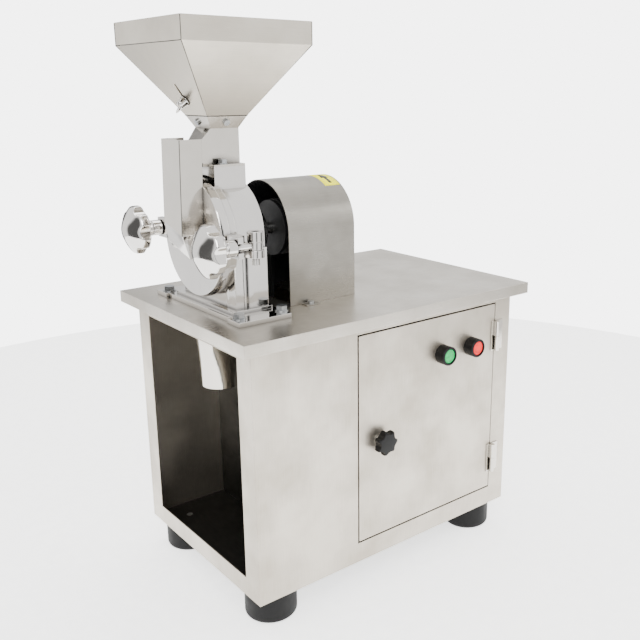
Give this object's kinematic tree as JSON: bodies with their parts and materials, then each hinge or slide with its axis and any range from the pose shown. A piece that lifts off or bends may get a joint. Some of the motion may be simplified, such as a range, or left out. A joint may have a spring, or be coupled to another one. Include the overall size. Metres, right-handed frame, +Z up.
{
  "type": "hammer mill",
  "caption": "Stainless hammer mill for grain: square hopper, slanted feed neck, clamped round chamber cover, belt guard, and a cabinet stand with a door.",
  "frame": {"origin": "bottom middle of the whole machine, on the floor between the four feet", "axes": "+X along the table from the hopper end to the guard end, -Y towards the door, +Z up"},
  "size_m": [0.538, 0.36, 0.8],
  "materials": {
    "brushed_stainless": "fine brushed grain",
    "polished_stainless": "mirror polished",
    "zinc_steel": "zinc plated",
    "black_rubber": "moulded",
    "black_plastic": "fine texture",
    "green_lens": "gloss",
    "red_lens": "gloss",
    "cast_iron_grey": "machined",
    "motor_paint": "hammer paint",
    "belt_rubber": "fabric faced"
  },
  "bodies": {
    "root": {"base_bolts": "zinc_steel", "bearing_cap": "zinc_steel", "belt_guard": "brushed_stainless", "cabinet_back_panel": "brushed_stainless", "cabinet_end_panel": "brushed_stainless", "cabinet_floor": "brushed_stainless", "cabinet_front_panel": "brushed_stainless", "cabinet_opening_frame": "brushed_stainless", "cable_gland": "black_plastic", "collar_screws": "polished_stainless", "discharge_spout": "brushed_stainless", "drive_belts": "belt_rubber", "far_pivot_screw": "polished_stainless", "feed_neck": "brushed_stainless", "foot_back_left": "black_rubber", "foot_back_right": "black_rubber", "foot_bolts": "zinc_steel", "foot_front_left": "black_rubber", "foot_front_right": "black_rubber", "front_bearing": "zinc_steel", "guard_screws": "zinc_steel", "hinge_frame_leaves": "zinc_steel", "hopper": "brushed_stainless", "hopper_collar": "brushed_stainless", "mill_body": "polished_stainless", "motor": "motor_paint", "motor_mount": "zinc_steel", "near_pivot_screw": "polished_stainless", "neck_bolts": "polished_stainless", "partition_panel": "brushed_stainless", "rear_bearing": "zinc_steel", "screen_ring": "brushed_stainless", "table_top": "brushed_stainless"},
    "cover": {"chamber_cover": "polished_stainless", "feed_box": "polished_stainless", "stator_ring": "polished_stainless"},
    "near_bolt": {"near_swing_bolt": "polished_stainless"},
    "far_bolt": {"far_swing_bolt": "polished_stainless"},
    "near_collar": {"near_clamp_collar": "polished_stainless"},
    "far_collar": {"far_clamp_collar": "polished_stainless"},
    "near_knob": {"near_star_knob": "polished_stainless"},
    "far_knob": {"far_star_knob": "polished_stainless"},
    "door": {"cabinet_door": "brushed_stainless", "hinge_door_leaves": "zinc_steel", "green_button_bezel": "black_plastic", "red_button_bezel": "black_plastic"},
    "latch": {"latch_knob": "black_plastic", "latch_spindle": "zinc_steel", "latch_cam": "zinc_steel"},
    "start_button": {"green_button": "green_lens"},
    "stop_button": {"red_button": "red_lens"},
    "rotor": {"spindle": "zinc_steel", "rotor_disc": "polished_stainless", "rotor_hammers": "polished_stainless", "spindle_nut": "zinc_steel", "spindle_pulley": "cast_iron_grey"},
    "motor_rotor": {"motor_shaft": "zinc_steel", "motor_pulley": "cast_iron_grey"},
    "gate": {"feed_gate": "brushed_stainless"},
    "gate_nut": {"wing_nut": "polished_stainless"}
  },
  "joints": [
    {"name": "cover_slide", "type": "slide", "parent": "root", "child": "cover", "axis": [-1, 0, 0], "range_m": [0, 0.02]},
    {"name": "near_bolt_swing", "type": "hinge", "parent": "root", "child": "near_bolt", "pos_m": [-0.181, -0.1, 0.522], "axis": [0, 0, 1], "range_deg": [0, 100]},
    {"name": "near_collar_slide", "type": "slide", "parent": "near_bolt", "child": "near_collar", "axis": [-1, 0, 0], "range_m": [0, 0.02]},
    {"name": "near_knob_spin", "type": "hinge", "parent": "near_collar", "child": "near_knob", "pos_m": [-0.241, -0.1, 0.522], "axis": [-1, 0, 0], "continuous": true},
    {"name": "far_bolt_swing", "type": "hinge", "parent": "root", "child": "far_bolt", "pos_m": [-0.181, 0.11, 0.522], "axis": [0, 0, -1], "range_deg": [0, 100]},
    {"name": "far_collar_slide", "type": "slide", "parent": "far_bolt", "child": "far_collar", "axis": [-1, 0, 0], "range_m": [0, 0.02]},
    {"name": "far_knob_spin", "type": "hinge", "parent": "far_collar", "child": "far_knob", "pos_m": [-0.241, 0.11, 0.522], "axis": [-1, 0, 0], "continuous": true},
    {"name": "door_hinge", "type": "hinge", "parent": "root", "child": "door", "pos_m": [0.21625, -0.1664, 0.232], "axis": [0, 0, 1], "range_deg": [0, 110]},
    {"name": "latch_turn", "type": "hinge", "parent": "door", "child": "latch", "pos_m": [-0.021, -0.17, 0.2265], "axis": [0, 1, 0], "range_deg": [0, 90]},
    {"name": "start_button_press", "type": "slide", "parent": "door", "child": "start_button", "axis": [0, 1, 0], "range_m": [0, 0.004], "stiffness_N_per_m": 600},
    {"name": "stop_button_press", "type": "slide", "parent": "door", "child": "stop_button", "axis": [0, 1, 0], "range_m": [0, 0.004], "stiffness_N_per_m": 600},
    {"name": "spindle_spin", "type": "hinge", "parent": "root", "child": "rotor", "pos_m": [-0.111, 0.005, 0.522], "axis": [1, 0, 0], "continuous": true},
    {"name": "motor_spin", "type": "hinge", "parent": "root", "child": "motor_rotor", "pos_m": [-0.031, 0.005, 0.205], "axis": [1, 0, 0], "continuous": true},
    {"name": "feed_gate_slide", "type": "slide", "parent": "root", "child": "gate", "axis": [-0.5778, 0, 0.8162], "range_m": [0, 0.02]},
    {"name": "gate_nut_turn", "type": "hinge", "parent": "gate", "child": "gate_nut", "pos_m": [-0.21387, 0.005, 0.70159], "axis": [-0.8162, 0, -0.5778], "continuous": true}
  ],
  "couplings": [
    {"joint": "near_collar_slide", "follows": "cover_slide", "ratio": 1},
    {"joint": "far_collar_slide", "follows": "cover_slide", "ratio": 1},
    {"joint": "spindle_spin", "follows": "motor_spin", "ratio": 1.55}
  ]
}
